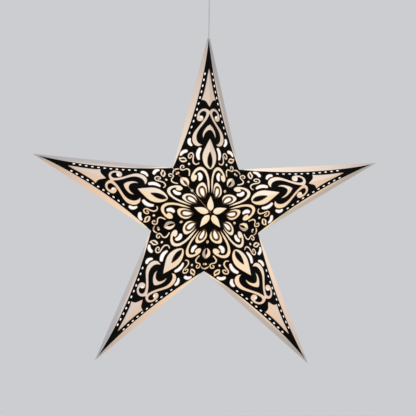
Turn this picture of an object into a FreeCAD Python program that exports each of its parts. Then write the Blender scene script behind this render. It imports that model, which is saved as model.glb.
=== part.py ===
import FreeCAD, Part
import Sketcher
import math
import os

from FreeCAD import Placement, Rotation, Vector

# Hanging five-pointed lantern of folded card, lit by a small bulb inside it.
# Millimetres. +Z is up, the star's face looks along -Y, and the origin is the
# middle of the ceiling plate's upper face, where the lantern is screwed on.

doc = FreeCAD.newDocument("paper_star_lantern")
sheet = doc.addObject("Spreadsheet::Sheet", "sizes")

SIZES = [
    ("tip_radius", 315.5, "star centre to the point where the folds of an arm meet"),
    ("notch_radius", 98.3, "star centre to the inner corner between two arms"),
    ("half_depth", 89.5, "middle plane to the star's front peak"),
    ("card_thickness", 0.35, "printed card"),
    ("tab_width", 9, "glue tab along each valley, folded inwards"),
    ("flap_width", 7.4, "glue flap along one side edge of each arm"),
    ("flap_tip_gap", 40.5, "fold point to the upper end of the flap, on the print"),
    ("flap_taper", 132, "where the flap starts to narrow, on the print"),
    ("flap_root", 96, "lower end of the flap, on the print"),
    ("closing_gap", 1, "between the two arms that are joined last"),
    ("pad_length", 34, "self-gripping pad in the closing gap"),
    ("pad_width", 6, "self-gripping pad in the closing gap"),
    ("print_length", 315.5, "length of one arm on the printed sheet"),
    ("print_notch", 98.3, "notch radius on the printed sheet"),
    ("print_tip_gap", 10.5, "fold point to the upper end of the printed field"),
    ("waist_drop", 124.5, "fold point to the waist of the printed field"),
    ("flap_clearance", 3.1, "flap's inner edge to the printed field at its waist"),
    ("window_margin", 0.15, "the card is punched this much outside the printed outline"),
    ("dot_length", 5.1, "dots along the edge of the print"),
    ("dot_width", 2.7, "dots along the edge of the print"),
    ("dot_top_drop", 72.3, "fold point to the uppermost dot"),
    ("dot_top_inset", 2, "edge of the print to the uppermost dot"),
    ("dot_waist_inset", 3.1, "edge of the print to the dots at the waist"),
    ("dot_end", 140, "height of the lowest dot on the print"),
    ("dot_end_inset", 3.5, "edge of the print to the lowest dot"),
    ("backing_thickness", 0.12, "translucent paper glued behind the windows"),
    ("backing_tip_gap", 61.5, "fold point to the upper end of the backing paper"),
    ("backing_foot", 94, "where the backing's edge turns toward the star's centre"),
    ("backing_inset", 0.4, "edge of the print to the backing's edge"),
    ("backing_clearance", 0.6, "backing paper to the glue tabs"),
    ("cord_diameter", 2.4, "two-core low-voltage cord"),
    ("cord_clearance", 0.05, "cord to the card at the open tip"),
    ("star_drop", 430, "ceiling to star centre"),
    ("stopper_drop", 20, "fold point of the top arm to the stopper"),
    ("stopper_length", 12, "stopper on the cord that carries the star"),
    ("bulb_diameter", 45, "opal globe"),
    ("bulb_neck", 17, "neck under the screw base"),
    ("bulb_screw", 13.6, "screw base across the thread"),
    ("bulb_screw_length", 18, "screw base"),
    ("bulb_reach", 34, "globe centre to the foot of the screw base"),
    ("shell_wall", 0.4, "brass screw shell"),
    ("shell_fit", 0.2, "thread play between bulb and shell, on the radius"),
    ("shell_clear", 3, "opal neck to the mouth of the screw shell"),
    ("holder_diameter", 27, "lamp holder outside"),
    ("holder_wall", 1.6, "lamp holder wall"),
    ("holder_length", 31, "lamp holder sleeve"),
    ("core_length", 12, "insulating core that carries the contacts"),
    ("contact_diameter", 5, "centre contact"),
    ("contact_height", 1.2, "centre contact"),
    ("cap_length", 17, "lamp holder cap"),
    ("cap_top", 14, "cap across its small end"),
    ("grip_diameter", 9, "cord grip at the lamp holder"),
    ("grip_length", 9, "cord grip at the lamp holder"),
    ("grip_flange", 1.5, "part of the grip that lies on the cap"),
    ("core_screw_diameter", 3, "terminal screws in the core"),
    ("core_screw_spacing", 13, "terminal screws in the core"),
    ("core_screw_length", 6, "terminal screws in the core"),
    ("cup_diameter", 76, "ceiling cup at its rim"),
    ("cup_bottom", 52, "ceiling cup at its lower end"),
    ("cup_height", 28, "ceiling cup"),
    ("cup_wall", 1.2, "ceiling cup"),
    ("cheek_clearance", 0.5, "bracket's lower corners to the cup"),
    ("plate_width", 22, "bracket"),
    ("plate_thickness", 1.6, "bracket"),
    ("plate_hole", 4.2, "screw holes to the ceiling"),
    ("plate_hole_spacing", 44, "screw holes to the ceiling"),
    ("cheek_height", 12, "bent cheeks that take the cup's side screws"),
    ("side_screw_diameter", 3, "screws through the cup into the cheeks"),
    ("side_screw_head", 5.6, "heads of those screws"),
    ("side_screw_drop", 8, "ceiling to those screws"),
    ("block_width", 18, "terminal block under the bracket"),
    ("block_depth", 16, "terminal block"),
    ("block_height", 12, "terminal block"),
    ("block_screw_diameter", 3, "terminal block screws"),
    ("cord_entry", 5, "length of cord inside the terminal block"),
    ("bush_diameter", 9, "cord bush through the cup's floor"),
    ("bush_head", 14, "bush under the cup"),
    ("bush_head_height", 4, "bush under the cup"),
    ("bush_nut", 14, "nut on the bush inside the cup"),
    ("bush_nut_height", 4, "nut on the bush inside the cup"),
]
for row, (alias, value, note) in enumerate(SIZES, start=1):
    sheet.set("A%d" % row, note)
    sheet.set("B%d" % row, str(value))
    sheet.setAlias("B%d" % row, alias)
doc.recompute()


def size(alias):
    return float(sheet.get(alias))


# Arms clockwise from the top, seen from the front
ARMS = ["arm_top", "arm_upper_right", "arm_lower_right", "arm_lower_left", "arm_upper_left"]
HALF = math.pi / len(ARMS)
TIP = size("tip_radius")
DEPTH = size("half_depth")
CARD = size("card_thickness")
NOTCH_X = size("notch_radius") * math.sin(HALF)
NOTCH_Z = size("notch_radius") * math.cos(HALF)
SPREAD = NOTCH_X / (TIP - NOTCH_Z)
BULGE = DEPTH / TIP
# Moving the four facets in by one millimetre lowers the fold point by this much
LIFT = math.sqrt(1 + 1 / SPREAD ** 2 + 1 / BULGE ** 2)
CENTRE = Vector(0, 0, -size("star_drop"))


def flat_face(points):
    return Part.Face(Part.makePolygon(points + points[:1]))


def solid_of(faces):
    solid = Part.Solid(Part.Shell(faces))
    if solid.Volume < 0:
        solid.reverse()
    return solid


# Four-sided point of an arm, its facets moved in square by inset
def pyramid(inset):
    top = TIP - inset * LIFT
    foot = -0.3 * TIP
    across = (top - foot) * SPREAD
    through = (top - foot) * BULGE
    ring = [Vector(x, y, foot) for x, y in ((across, 0), (0, through), (-across, 0), (0, -through))]
    sides = [flat_face([Vector(0, 0, top), ring[i], ring[(i + 1) % 4]]) for i in range(4)]
    return solid_of(sides + [flat_face(ring)])


# Wedge between the two valley planes of an arm, each moved in by its own amount
def sector(left, right):
    corner_x = (left - right) / (2 * math.cos(HALF))
    corner_z = (left + right) / (2 * math.sin(HALF))
    corner = Vector(corner_x, -2 * DEPTH, corner_z)
    far = 3 * TIP
    reach_x = far * math.sin(HALF)
    reach_z = far * math.cos(HALF)
    outline = [corner, corner + Vector(reach_x, 0, reach_z), corner + Vector(-reach_x, 0, reach_z)]
    return flat_face(outline).extrude(Vector(0, 4 * DEPTH, 0))


# A point of the printed sheet, side of the ridge and height, on the real arm
def on_print(side, height):
    sheet_x = size("print_notch") * math.sin(HALF)
    sheet_z = size("print_notch") * math.cos(HALF)
    grow = TIP / size("print_length")
    shift = (NOTCH_Z - sheet_z * grow) / sheet_x
    return Vector(side * NOTCH_X / sheet_x, -1.2 * DEPTH, height * grow + abs(side) * shift)


# Everything in front of the middle plane that lies behind a face of the print
def forward(face):
    return face.extrude(Vector(0, 1.2 * DEPTH, 0))


# Sheet of paper lying between two depths below the card's outer surface
def layer(outer, inner, face):
    return pyramid(outer).cut(pyramid(inner)).common(forward(face))


# Height on the print of a place given by its distance from the fold point
def below_tip(alias):
    return size("print_length") - size(alias)


# Circle through three points: centre, radius and which way it turns
def circle_through(first, middle, last):
    (ax, ay), (bx, by), (cx, cy) = first, middle, last
    turn = 2 * (ax * (by - cy) + bx * (cy - ay) + cx * (ay - by))
    sa, sb, sc = ax * ax + ay * ay, bx * bx + by * by, cx * cx + cy * cy
    mx = (sa * (by - cy) + sb * (cy - ay) + sc * (ay - by)) / turn
    my = (sa * (cx - bx) + sb * (ax - cx) + sc * (bx - ax)) / turn
    return mx, my, math.hypot(ax - mx, ay - my), turn


# Half-width of the printed sheet's facet at a given height
def side_edge(height):
    notch_x = size("print_notch") * math.sin(HALF)
    notch_z = size("print_notch") * math.cos(HALF)
    return notch_x * (size("print_length") - height) / (size("print_length") - notch_z)


# A point at a given height, moved in from the curved edge of the printed field
def edge_point(height, inset):
    top = (0.0, below_tip("print_tip_gap"))
    waist_at = below_tip("waist_drop")
    waist = (side_edge(waist_at) - size("flap_width") - size("flap_clearance"), waist_at)
    notch = (size("print_notch") * math.sin(HALF), size("print_notch") * math.cos(HALF))
    mx, my, radius, turn = circle_through(top, waist, notch)
    side = mx - math.sqrt((radius + inset) ** 2 - (height - my) ** 2)
    return side, height


# Windows punched in one half of an arm, each given on the print

# Points on the arc through three points, the last one left out
def arc_points(first, middle, last, count):
    mx, my, radius, turn = circle_through(first, middle, last)
    start = math.atan2(first[1] - my, first[0] - mx)
    way = 1 if turn > 0 else -1
    sweep = (math.atan2(last[1] - my, last[0] - mx) - start) * way % (2 * math.pi) * way
    angles = [start + sweep * i / count for i in range(count)]
    return [(mx + radius * math.cos(angle), my + radius * math.sin(angle)) for angle in angles]


# Bent bean: three points of its middle line and its half-widths there
def bean(ends, widths):
    (ax, ay), (bx, by), (cx, cy) = ends
    wa, wb, wc = [width + size("window_margin") for width in widths]

    def unit(dx, dy):
        length = math.hypot(dx, dy)
        return dx / length, dy / length

    tax, tay = unit(bx - ax - 0.25 * (cx - ax), by - ay - 0.25 * (cy - ay))
    tbx, tby = unit(cx - ax, cy - ay)
    tcx, tcy = unit(cx - bx - 0.25 * (cx - ax), cy - by - 0.25 * (cy - ay))
    corner = [
        (ax - tay * wa, ay + tax * wa),
        (bx - tby * wb, by + tbx * wb),
        (cx - tcy * wc, cy + tcx * wc),
        (cx + tcx * wc, cy + tcy * wc),
        (cx + tcy * wc, cy - tcx * wc),
        (bx + tby * wb, by - tbx * wb),
        (ax + tay * wa, ay - tax * wa),
        (ax - tax * wa, ay - tay * wa),
    ]
    outline = []
    for i in (0, 2, 4, 6):
        outline += arc_points(corner[i], corner[i + 1], corner[(i + 2) % 8], 4)
    return outline


BEANS = [
    bean([(31.3, 128.6), (31.9, 123.4), (28.8, 118.4)], (2.0, 2.5, 1.7)),
    bean([(37.0, 108.3), (41.6, 106.7), (45.2, 102.0)], (2.5, 2.6, 1.6)),
    bean([(15.4, 111.2), (18.6, 103.0), (17.6, 93.8)], (2.2, 2.7, 1.7)),
    bean([(16.6, 67.2), (14.9, 62.0), (16.2, 58.0)], (2.6, 2.9, 2.2)),
    bean([(13.2, 40.2), (12.4, 35.2), (10.5, 29.9)], (2.5, 2.6, 0.8)),
]
# Eye of a scroll and a seed: centre, half-length and half-width
EYE = (12.5, 167.0, 2.3, 2.1)
SEED = (32.5, 85.4, 2.0, 1.5)
EYE_CORNERS = 10
SMALL_CORNERS = 6
DOT_COUNT = 11


# Small many-sided hole, leaning sideways from upright by an angle
def round_window(side, height, half_length, half_width, lean, corners):
    points = []
    for i in range(corners):
        turn = 2 * math.pi * i / corners
        along = half_length * math.cos(turn)
        across = half_width * math.sin(turn)
        x = side + across * math.cos(lean) + along * math.sin(lean)
        y = height - across * math.sin(lean) + along * math.cos(lean)
        points.append((x, y))
    return points


# Dots along the edge of the print, evenly on an arc of their own
def dots():
    top = edge_point(below_tip("dot_top_drop"), size("dot_top_inset"))
    waist = edge_point(below_tip("waist_drop"), size("dot_waist_inset"))
    end = edge_point(size("dot_end"), size("dot_end_inset"))
    mx, my, radius, turn = circle_through(top, waist, end)
    places = arc_points(top, waist, end, DOT_COUNT - 1) + [end]
    half_length, half_width = size("dot_length") / 2, size("dot_width") / 2
    holes = []
    for side, height in places:
        lean = math.atan2(height - my, mx - side)
        holes.append(round_window(side, height, half_length, half_width, lean, SMALL_CORNERS))
    return holes


def windows():
    outlines = BEANS + dots() + [round_window(*EYE, 0, EYE_CORNERS), round_window(*SEED, 0, SMALL_CORNERS)]
    tools = []
    for mirror in (1, -1):
        for points in outlines:
            corners = [on_print(mirror * x, y) for x, y in points]
            tools.append(forward(flat_face(corners)))
    return Part.makeCompound(tools)


WINDOWS = windows()


# One arm: four facets of one sheet, its valley tabs folded in, its flap glued
# inside the front facet on the clockwise side
def folded_arm(left, right):
    tab_angle = math.acos(abs(-math.cos(HALF) / SPREAD + math.sin(HALF)) / LIFT)
    tab_depth = size("tab_width") * math.sin(tab_angle)
    outside = pyramid(0).common(sector(left, right))
    inside = pyramid(CARD).common(sector(left + CARD, right + CARD))
    shell = outside.cut([inside, pyramid(tab_depth)])
    top, taper, root = below_tip("flap_tip_gap"), size("flap_taper"), size("flap_root")
    shoulder = top - size("flap_width")
    flap = flat_face([
        on_print(side_edge(top) + 1, top),
        on_print(side_edge(root) + 1, root),
        on_print(side_edge(root), root),
        on_print(side_edge(taper) - size("flap_width"), taper),
        on_print(side_edge(shoulder) - size("flap_width"), shoulder),
        on_print(side_edge(top) - 1, top),
    ])
    shell = shell.fuse(layer(0.8 * CARD, 2 * CARD, flap).common(sector(right + CARD, right + CARD)))
    return shell.removeSplitter().cut(WINDOWS)


# Backing paper behind the windows of one arm, creased along the ridge
def backing():
    inset = CARD + size("closing_gap") / 2 + size("backing_clearance")
    top, foot, gap = below_tip("backing_tip_gap"), size("backing_foot"), size("backing_inset")
    side = edge_point(top, gap)[0]
    middle = edge_point(0.5 * (top + foot), gap)
    low = edge_point(foot, gap)
    edges = [
        Part.makeLine(on_print(-side, top), on_print(side, top)),
        Part.Arc(on_print(side, top), on_print(*middle), on_print(*low)).toShape(),
        Part.makeLine(on_print(*low), on_print(0, -20)),
        Part.makeLine(on_print(0, -20), on_print(-low[0], low[1])),
        Part.Arc(on_print(-low[0], low[1]), on_print(-middle[0], middle[1]), on_print(-side, top)).toShape(),
    ]
    outline = Part.Face(Part.Wire(edges))
    return layer(CARD, CARD + size("backing_thickness"), outline).common(sector(inset, inset))


def add_shape(label, shape, placement):
    feature = doc.addObject("Part::Feature", label)
    feature.Label = label
    feature.Shape = shape
    feature.Placement = placement
    return feature


def turned(index):
    return Placement(CENTRE, Rotation(Vector(0, 1, 0), 360.0 * index / len(ARMS)))


PARTS = []
half_gap = size("closing_gap") / 2
glued = folded_arm(0, 0)
seam_left = folded_arm(half_gap, 0)
seam_right = folded_arm(0, half_gap)
# The card ends where the cord just fits between the four facets
opening = (size("cord_diameter") / 2 + size("cord_clearance") + CARD) * LIFT
knife = Part.makeBox(40, 40, 40, Vector(-20, -20, TIP - opening))
BLANKS = [seam_left.cut(knife), glued, glued, glued, seam_right]
paper = backing()
for i, label in enumerate(ARMS):
    PARTS.append(add_shape(label, BLANKS[i], turned(i)))
    PARTS.append(add_shape(label.replace("arm", "backing"), paper, turned(i)))


# Self-gripping pads on the tabs of the seam that is closed last
def pads(near, far):
    along = Vector(-math.sin(HALF), 0, math.cos(HALF)) * size("notch_radius")
    out = Vector(0, -DEPTH, 0)
    run = (along - out).normalize()
    inward = run.cross(Vector(math.cos(HALF), 0, math.sin(HALF)))
    if inward.dot(along + out) > 0:
        inward = -inward
    square = Vector(math.cos(HALF), 0, math.sin(HALF))
    middle = (along + out) * 0.5
    margin = 0.5 * (size("tab_width") - size("pad_width"))
    shapes = []
    for flip in (1, -1):
        corners = []
        for a, b in ((-1, 0), (1, 0), (1, 1), (-1, 1)):
            point = middle + run * (a * size("pad_length") / 2) + inward * (margin + b * size("pad_width"))
            point = Vector(point.x, point.y * flip, point.z) + square * near
            corners.append(point)
        shapes.append(flat_face(corners).extrude(square * (far - near)))
    return Part.makeCompound(shapes)


PARTS.append(add_shape("closing_pads_hook", pads(0, half_gap), Placement(CENTRE, Rotation())))
PARTS.append(add_shape("closing_pads_loop", pads(-half_gap, 0), Placement(CENTRE, Rotation())))


# Stopper: a rhombic plug on the cord, wedged under the top arm's four facets
def stopper():
    top = TIP - size("stopper_drop")
    length = size("stopper_length")
    slab = Part.makeBox(60, 60, length, Vector(-30, -30, top - length))
    bore = Part.makeCylinder(size("cord_diameter") / 2, 3 * length, Vector(0, 0, top - 2 * length))
    return pyramid(CARD).common(slab).cut(bore)


PARTS.append(add_shape("cord_stopper", stopper(), Placement(CENTRE, Rotation())))


# Helpers for the turned and moulded hardware, all bound to the sheet

def bound(kind, name, **values):
    item = doc.addObject(kind, name)
    for prop, expression in values.items():
        item.setExpression(prop, expression)
    return item


def at(item, x="0", y="0", z="0"):
    item.setExpression(".Placement.Base.x", x)
    item.setExpression(".Placement.Base.y", y)
    item.setExpression(".Placement.Base.z", z)
    return item


def cylinder(name, radius, height, z, x="0", y="0"):
    return at(bound("Part::Cylinder", name, Radius=radius, Height=height), x, y, z)


def cone(name, low, high, height, z):
    return at(bound("Part::Cone", name, Radius1=low, Radius2=high, Height=height), z=z)


def box(name, length, width, height, x, y, z):
    return at(bound("Part::Box", name, Length=length, Width=width, Height=height), x, y, z)


def cut(label, base, tool):
    item = doc.addObject("Part::Cut", label)
    item.Base = base
    item.Tool = tool
    item.Label = label
    return item


def fuse(label, items):
    item = doc.addObject("Part::MultiFuse", label)
    item.Shapes = items
    item.Label = label
    return item


def keep(item, label):
    item.Label = label
    PARTS.append(item)
    return item


# Bulb: opal globe, neck and screw base, sealed, so one solid
FOOT = "-sizes.star_drop + sizes.bulb_reach"
globe = at(bound("Part::Sphere", "globe", Radius="sizes.bulb_diameter / 2"), z="-sizes.star_drop")
neck = cylinder("neck", "sizes.bulb_neck / 2", "sizes.bulb_reach - 8", "-sizes.star_drop + 8")
screw = cylinder("screw_base", "sizes.bulb_screw / 2", "sizes.bulb_screw_length", FOOT)
keep(fuse("led_bulb", [globe, neck, screw]), "led_bulb")

# Brass screw shell round the bulb's base, under the insulating core
SHELL_LOW = FOOT + " + sizes.shell_clear"
SHELL_HIGH = FOOT + " + sizes.bulb_screw_length + sizes.contact_height"
SHELL_LONG = "sizes.bulb_screw_length + sizes.contact_height - sizes.shell_clear"
shell_out = cylinder("shell_out", "sizes.bulb_screw / 2 + sizes.shell_fit + sizes.shell_wall", SHELL_LONG, SHELL_LOW)
shell_in = cylinder("shell_in", "sizes.bulb_screw / 2 + sizes.shell_fit", SHELL_LONG, SHELL_LOW)
keep(cut("screw_shell", shell_out, shell_in), "screw_shell")

# Centre contact between the bulb's foot and the core
CONTACT = FOOT + " + sizes.bulb_screw_length"
keep(cylinder("centre_contact", "sizes.contact_diameter / 2", "sizes.contact_height", CONTACT), "centre_contact")

# Insulating core: fills the holder above the shell and carries two terminal screws
CORE_RADIUS = "sizes.holder_diameter / 2 - sizes.holder_wall"
CORE_TOP = SHELL_HIGH + " + sizes.core_length"
core_block = cylinder("core_block", CORE_RADIUS, "sizes.core_length", SHELL_HIGH)
screw_z = CORE_TOP + " - sizes.core_screw_length"
core_holes = []
core_screws = []
for number, sign in enumerate(("", "-")):
    place = sign + "sizes.core_screw_spacing / 2"
    radius = "sizes.core_screw_diameter / 2"
    core_holes.append(cylinder("core_hole_%d" % number, radius, "sizes.core_screw_length", screw_z, x=place))
    core_screws.append(cylinder("core_screw_%d" % number, radius, "sizes.core_screw_length", screw_z, x=place))
CORD_LOW = CORE_TOP + " - sizes.core_length / 2"
cord_hole = cylinder("core_cord_hole", "sizes.cord_diameter / 2", "sizes.core_length / 2", CORD_LOW)
keep(cut("holder_core", core_block, fuse("core_cuts", core_holes + [cord_hole])), "holder_core")
keep(fuse("terminal_screws_holder", core_screws), "terminal_screws_holder")

# Holder sleeve round core and shell, open below for the bulb
SLEEVE_LOW = CORE_TOP + " - sizes.holder_length"
sleeve_out = cylinder("sleeve_out", "sizes.holder_diameter / 2", "sizes.holder_length", SLEEVE_LOW)
sleeve_in = cylinder("sleeve_in", CORE_RADIUS, "sizes.holder_length", SLEEVE_LOW)
keep(cut("holder_sleeve", sleeve_out, sleeve_in), "holder_sleeve")

# Cap on the sleeve: a cone with the cord grip through its top
CAP_TOP = CORE_TOP + " + sizes.cap_length"
cap_out = cone("cap_out", "sizes.holder_diameter / 2", "sizes.cap_top / 2", "sizes.cap_length", CORE_TOP)
cap_in = cone("cap_in", CORE_RADIUS, "sizes.cap_top / 2 - sizes.holder_wall",
              "sizes.cap_length - sizes.holder_wall", CORE_TOP)
cap_hole = cylinder("cap_hole", "sizes.grip_diameter / 2", "2 * sizes.holder_wall",
                    CAP_TOP + " - 1.5 * sizes.holder_wall")
keep(cut("holder_cap", cap_out, fuse("cap_cuts", [cap_in, cap_hole])), "holder_cap")

# Cord grip: a bush pressed in the cap, its flange on top
grip_low = CAP_TOP + " - sizes.grip_length + sizes.grip_flange"
grip_stem = cylinder("grip_stem", "sizes.grip_diameter / 2", "sizes.grip_length", grip_low)
grip_rim = cylinder("grip_rim", "sizes.cap_top / 2", "sizes.grip_flange", CAP_TOP)
grip_bore = cylinder("grip_bore", "sizes.cord_diameter / 2", "sizes.grip_length", grip_low)
keep(cut("cord_grip", fuse("grip_body", [grip_stem, grip_rim]), grip_bore), "cord_grip")

# Cord: straight and taut from the holder's core to the terminal block
CORD_HIGH = "-sizes.plate_thickness - sizes.block_height + sizes.cord_entry"
CORD_LONG = CORD_HIGH + " - (" + CORD_LOW + ")"
keep(cylinder("hanging_cord", "sizes.cord_diameter / 2", CORD_LONG, CORD_LOW), "hanging_cord")

# Ceiling bracket: a strip with two cheeks bent down, made by pad and pocket
bracket = doc.addObject("PartDesign::Body", "ceiling_bracket")


def plane_of(body, role):
    return [item for item in body.Origin.OriginFeatures if item.Role == role][0]


def new_sketch(body, name, role):
    sketch = body.newObject("Sketcher::SketchObject", name)
    sketch.AttachmentSupport = [(plane_of(body, role), "")]
    sketch.MapMode = "FlatFace"
    return sketch


SLOPE = "(sizes.cup_diameter - sizes.cup_bottom) / 2 / sizes.cup_height"
CUP_INSIDE = "(sizes.cup_diameter / 2 - sizes.cup_wall - (sizes.cheek_height + sizes.cup_wall) * " + SLOPE + ")"
BRACKET_HALF = "sqrt((" + CUP_INSIDE + " - sizes.cheek_clearance) ^ 2 - (sizes.plate_width / 2) ^ 2)"


# Outline seen from the front: strip on top, a cheek down each end
def bracket_outline(sketch):
    half, deep, thick = 28.0, size("cheek_height"), size("plate_thickness")
    corners = [(-half, 0), (half, 0), (half, -deep), (half - thick, -deep),
               (half - thick, -thick), (thick - half, -thick), (thick - half, -deep), (-half, -deep)]
    count = len(corners)
    for i in range(count):
        a, b = corners[i], corners[(i + 1) % count]
        sketch.addGeometry(Part.LineSegment(Vector(a[0], a[1], 0), Vector(b[0], b[1], 0)), False)
    for i in range(count):
        sketch.addConstraint(Sketcher.Constraint("Coincident", i, 2, (i + 1) % count, 1))
        if i > 0:
            kind = "Horizontal" if i % 2 == 0 else "Vertical"
            sketch.addConstraint(Sketcher.Constraint(kind, i))
    sketch.addConstraint(Sketcher.Constraint("PointOnObject", 0, 1, -1))
    sketch.addConstraint(Sketcher.Constraint("Symmetric", 0, 1, 0, 2, -1, 1))
    sketch.addConstraint(Sketcher.Constraint("Equal", 1, 7))
    sketch.addConstraint(Sketcher.Constraint("Equal", 2, 6))
    dimensions = [
        ("DistanceX", 0, 1, 2, 2 * half, "2 * " + BRACKET_HALF),
        ("DistanceY", 7, 1, 2, deep, "sizes.cheek_height"),
        ("DistanceX", 6, 2, 1, thick, "sizes.plate_thickness"),
        ("DistanceY", 3, 1, 2, deep - thick, "sizes.cheek_height - sizes.plate_thickness"),
    ]
    for kind, edge, start, end, value, expression in dimensions:
        index = sketch.addConstraint(Sketcher.Constraint(kind, edge, start, edge, end, value))
        sketch.setExpression("Constraints[%d]" % index, expression)


front = new_sketch(bracket, "bracket_front", "XZ_Plane")
bracket_outline(front)
strip = bracket.newObject("PartDesign::Pad", "bracket_strip")
strip.Profile = front
strip.setExpression("Length", "sizes.plate_width")
strip.Midplane = True
doc.recompute()

holes = new_sketch(bracket, "bracket_holes", "XY_Plane")
for number, sign in enumerate((1, -1)):
    place = Vector(sign * size("plate_hole_spacing") / 2, 0, 0)
    holes.addGeometry(Part.Circle(place, Vector(0, 0, 1), size("plate_hole") / 2), False)
    index = holes.addConstraint(Sketcher.Constraint("Radius", number, size("plate_hole") / 2))
    holes.setExpression("Constraints[%d]" % index, "sizes.plate_hole / 2")
    holes.addConstraint(Sketcher.Constraint("PointOnObject", number, 3, -1))
    index = holes.addConstraint(Sketcher.Constraint("DistanceX", -1, 1, number, 3, place.x))
    holes.setExpression("Constraints[%d]" % index, "%d * sizes.plate_hole_spacing / 2" % sign)
drill = bracket.newObject("PartDesign::Pocket", "bracket_drilling")
drill.Profile = holes
drill.Type = 1
drill.Midplane = True
doc.recompute()

# Threaded holes in the cheeks for the cup's side screws
SIDE_Z = "-sizes.side_screw_drop"


def across(name, radius, length, x):
    item = cylinder(name, radius, length, SIDE_Z, x=x)
    item.Placement.Rotation = Rotation(Vector(0, 1, 0), 90)
    return item


tapped = across("bracket_tapping", "sizes.side_screw_diameter / 2", "sizes.cup_diameter", "-sizes.cup_diameter / 2")
keep(cut("bracket", bracket, tapped), "bracket")

# Cup: a thin cone standing against the ceiling over the bracket
cup_out = cone("cup_out", "sizes.cup_bottom / 2", "sizes.cup_diameter / 2", "sizes.cup_height", "-sizes.cup_height")
cup_in = cone("cup_in", "sizes.cup_bottom / 2 - sizes.cup_wall", "sizes.cup_diameter / 2 - sizes.cup_wall",
              "sizes.cup_height", "-sizes.cup_height + sizes.cup_wall")
cup_hole = cylinder("cup_hole", "sizes.bush_diameter / 2", "3 * sizes.cup_wall",
                    "-sizes.cup_height - sizes.cup_wall")
cup_tap = across("cup_tapping", "sizes.side_screw_diameter / 2", "2 * sizes.cup_diameter", "-sizes.cup_diameter")
keep(cut("ceiling_cup", cup_out, fuse("cup_cuts", [cup_in, cup_hole, cup_tap])), "ceiling_cup")

# Side screws: shank through cup and cheek, head outside the cup
side_screws = []
WALL_X = "(sizes.cup_diameter / 2 - sizes.side_screw_drop * " + SLOPE + ")"
HEAD_X = "(" + WALL_X + " + sizes.side_screw_head / 2 * " + SLOPE + ")"
SHANK_X = "(" + BRACKET_HALF + " - sizes.plate_thickness - 1)"
for number, sign in enumerate((1, -1)):
    long = HEAD_X + " - " + SHANK_X
    start = SHANK_X if sign == 1 else "-" + HEAD_X
    head_start = HEAD_X if sign == 1 else "-" + HEAD_X + " - 1.8"
    shank = across("side_shank_%d" % number, "sizes.side_screw_diameter / 2", long, start)
    head = across("side_head_%d" % number, "sizes.side_screw_head / 2", "1.8", head_start)
    side_screws += [shank, head]
keep(fuse("cup_screws", side_screws), "cup_screws")

# Terminal block under the bracket, with its two screws
BLOCK_Z = "-sizes.plate_thickness - sizes.block_height"
block = box("block_body", "sizes.block_width", "sizes.block_depth", "sizes.block_height",
            "-sizes.block_width / 2", "-sizes.block_depth / 2", BLOCK_Z)
entry = cylinder("block_entry", "sizes.cord_diameter / 2", "sizes.cord_entry", BLOCK_Z)
block_screws = []
block_holes = []
for number, sign in enumerate(("", "-")):
    place = sign + "sizes.block_width / 4"
    for group, name in ((block_holes, "block_hole_%d"), (block_screws, "block_screw_%d")):
        item = cylinder(name % number, "sizes.block_screw_diameter / 2", "sizes.block_depth / 3",
                        "-sizes.plate_thickness - sizes.block_height / 2", x=place, y="-sizes.block_depth / 6")
        item.Placement.Rotation = Rotation(Vector(1, 0, 0), 90)
        group.append(item)
keep(cut("terminal_block", block, fuse("block_cuts", block_holes + [entry])), "terminal_block")
keep(fuse("terminal_screws_ceiling", block_screws), "terminal_screws_ceiling")

# Cord bush through the cup's floor and the nut that holds it
bush_low = "-sizes.cup_height - sizes.bush_head_height"
bush_stem = cylinder("bush_stem", "sizes.bush_diameter / 2",
                     "sizes.bush_head_height + sizes.cup_wall + sizes.bush_nut_height", bush_low)
bush_head = cone("bush_cone", "sizes.bush_head / 2 - 2", "sizes.bush_head / 2", "sizes.bush_head_height", bush_low)
bush_bore = cylinder("bush_bore", "sizes.cord_diameter / 2",
                     "sizes.bush_head_height + sizes.cup_wall + sizes.bush_nut_height", bush_low)
keep(cut("cord_bush", fuse("bush_body", [bush_stem, bush_head]), bush_bore), "cord_bush")
nut_low = "-sizes.cup_height + sizes.cup_wall"
nut_out = bound("Part::Prism", "nut_out", Circumradius="sizes.bush_nut / 2", Height="sizes.bush_nut_height")
at(nut_out, z=nut_low)
nut_out.Polygon = 6
nut_in = cylinder("nut_in", "sizes.bush_diameter / 2", "sizes.bush_nut_height", nut_low)
keep(cut("bush_nut", nut_out, nut_in), "bush_nut")

doc.recompute()

# Every object must have come out whole before anything is written
for item in doc.Objects:
    if "Invalid" in item.State or "Error" in item.State:
        raise RuntimeError("failed object: " + item.Label)
os.makedirs("parts", exist_ok=True)
for item in PARTS:
    shape = item.Shape
    if shape.isNull() or not shape.isValid() or not shape.Solids:
        raise RuntimeError("bad shape: " + item.Label)
    print(item.Label, "solids", len(shape.Solids), "volume", round(shape.Volume, 1))
    shape.exportStep(os.path.join("parts", item.Label + ".step"))
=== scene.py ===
import math

import bmesh
import bpy
from mathutils import Matrix, Vector


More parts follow.
